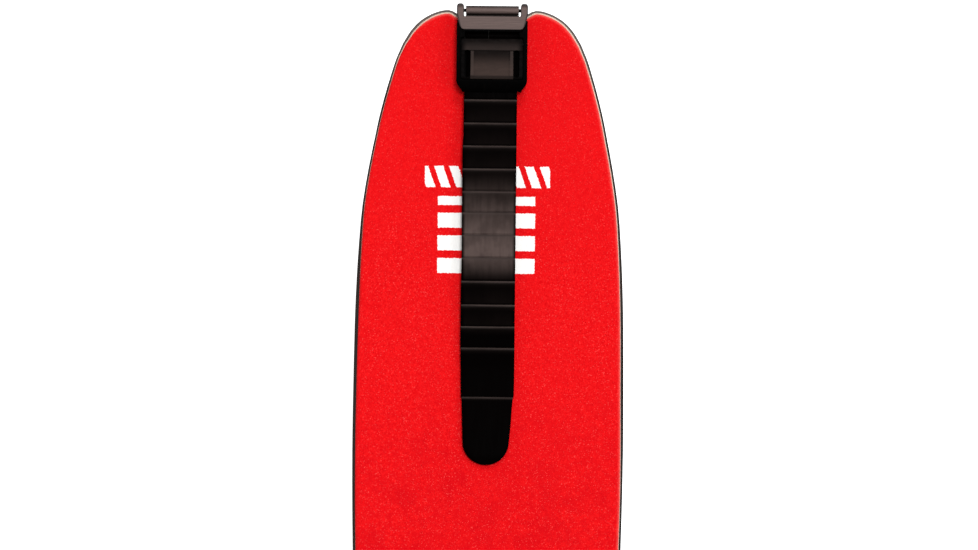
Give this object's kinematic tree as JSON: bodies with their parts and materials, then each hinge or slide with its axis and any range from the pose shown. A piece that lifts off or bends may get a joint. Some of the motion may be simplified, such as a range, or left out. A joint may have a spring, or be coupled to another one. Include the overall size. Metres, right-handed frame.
{
  "type": "climbing skin",
  "caption": "Full-length ski climbing skin: red plush on a woven backing with a glue side, a ladder-strap tail buckle with hinged hook, and a riveted wire tip loop.",
  "frame": {"origin": "on the glue face (the plane that lies on the ski base), on the centreline, 8 mm in from the tail shoulders", "axes": "+Y along the skin towards the tail, +Z out of the plush, away from the ski; +X to the right seen from above with the tail up"},
  "size_m": [0.132, 1.7274, 0.0257],
  "materials": {
    "plush": "dense short nylon pile, matt, nap lying towards the tail",
    "backing": "plain woven cotton, undyed",
    "glue": "tacky hot-melt adhesive, satin",
    "strap": "moulded elastomer, satin",
    "moulding": "fine-grained moulded nylon",
    "lever": "fine-grained moulded nylon",
    "dull_plate": "dull grey-brown coating, fine grain",
    "steel": "satin",
    "dark_steel": "blackened",
    "pad": "soft, matt",
    "patch": "coated woven nylon"
  },
  "bodies": {
    "tail_half": {"plush_tail": "plush", "backing_tail": "backing", "glue_layer_tail": "glue", "anchor_plate": "steel", "anchor_rivet_left": "steel", "anchor_rivet_right": "steel", "strap_return": "strap"},
    "tip_half": {"plush_tip": "plush", "backing_tip": "backing", "glue_layer_tip": "glue", "tip_plate": "steel", "tip_rivet_left": "steel", "tip_rivet_right": "steel", "tip_patch": "patch"},
    "buckle": {"buckle_body": "moulding", "clevis": "dull_plate", "clevis_rivet": "dark_steel", "hook_pin": "dark_steel", "return_bar": "dark_steel", "lever_pin": "dark_steel", "lever_spring": "dark_steel", "strap_loop": "strap"},
    "hook": {"tail_hook": "dull_plate", "hook_pad": "pad"},
    "lever": {"release_lever": "lever"},
    "strap": {"ladder_strap": "strap"},
    "bail": {"tip_bail": "steel", "bail_sleeve": "pad"}
  },
  "joints": [
    {"name": "skin_fold", "type": "hinge", "parent": "tail_half", "child": "tip_half", "pos_m": [0, -0.864, -0.001], "axis": [1, 0, 0], "range_deg": [0, 180]},
    {"name": "buckle_slide", "type": "slide", "parent": "tail_half", "child": "buckle", "axis": [0, 1, 0], "range_m": [0, 0.019], "deforming": ["strap_return"]},
    {"name": "strap_slide", "type": "slide", "parent": "buckle", "child": "strap", "axis": [0, 1, 0], "range_m": [0, 0.019], "deforming": ["strap_loop"]},
    {"name": "lever_hinge", "type": "hinge", "parent": "buckle", "child": "lever", "pos_m": [0, -0.00775, 0.01215], "axis": [-1, 0, 0], "range_deg": [0, 30], "stiffness_Nm_per_rad": 0.05, "springref_deg": -28.65, "deforming": ["lever_spring"]},
    {"name": "hook_hinge", "type": "hinge", "parent": "buckle", "child": "hook", "pos_m": [0, 0.0075, 0.0084], "axis": [1, 0, 0], "range_deg": [0, 100]},
    {"name": "bail_hinge", "type": "hinge", "parent": "tip_half", "child": "bail", "pos_m": [0, -1.638, 0.00195], "axis": [-1, 0, 0], "range_deg": [0, 90]}
  ],
  "couplings": [
    {"joint": "strap_slide", "follows": "buckle_slide", "ratio": 1}
  ]
}
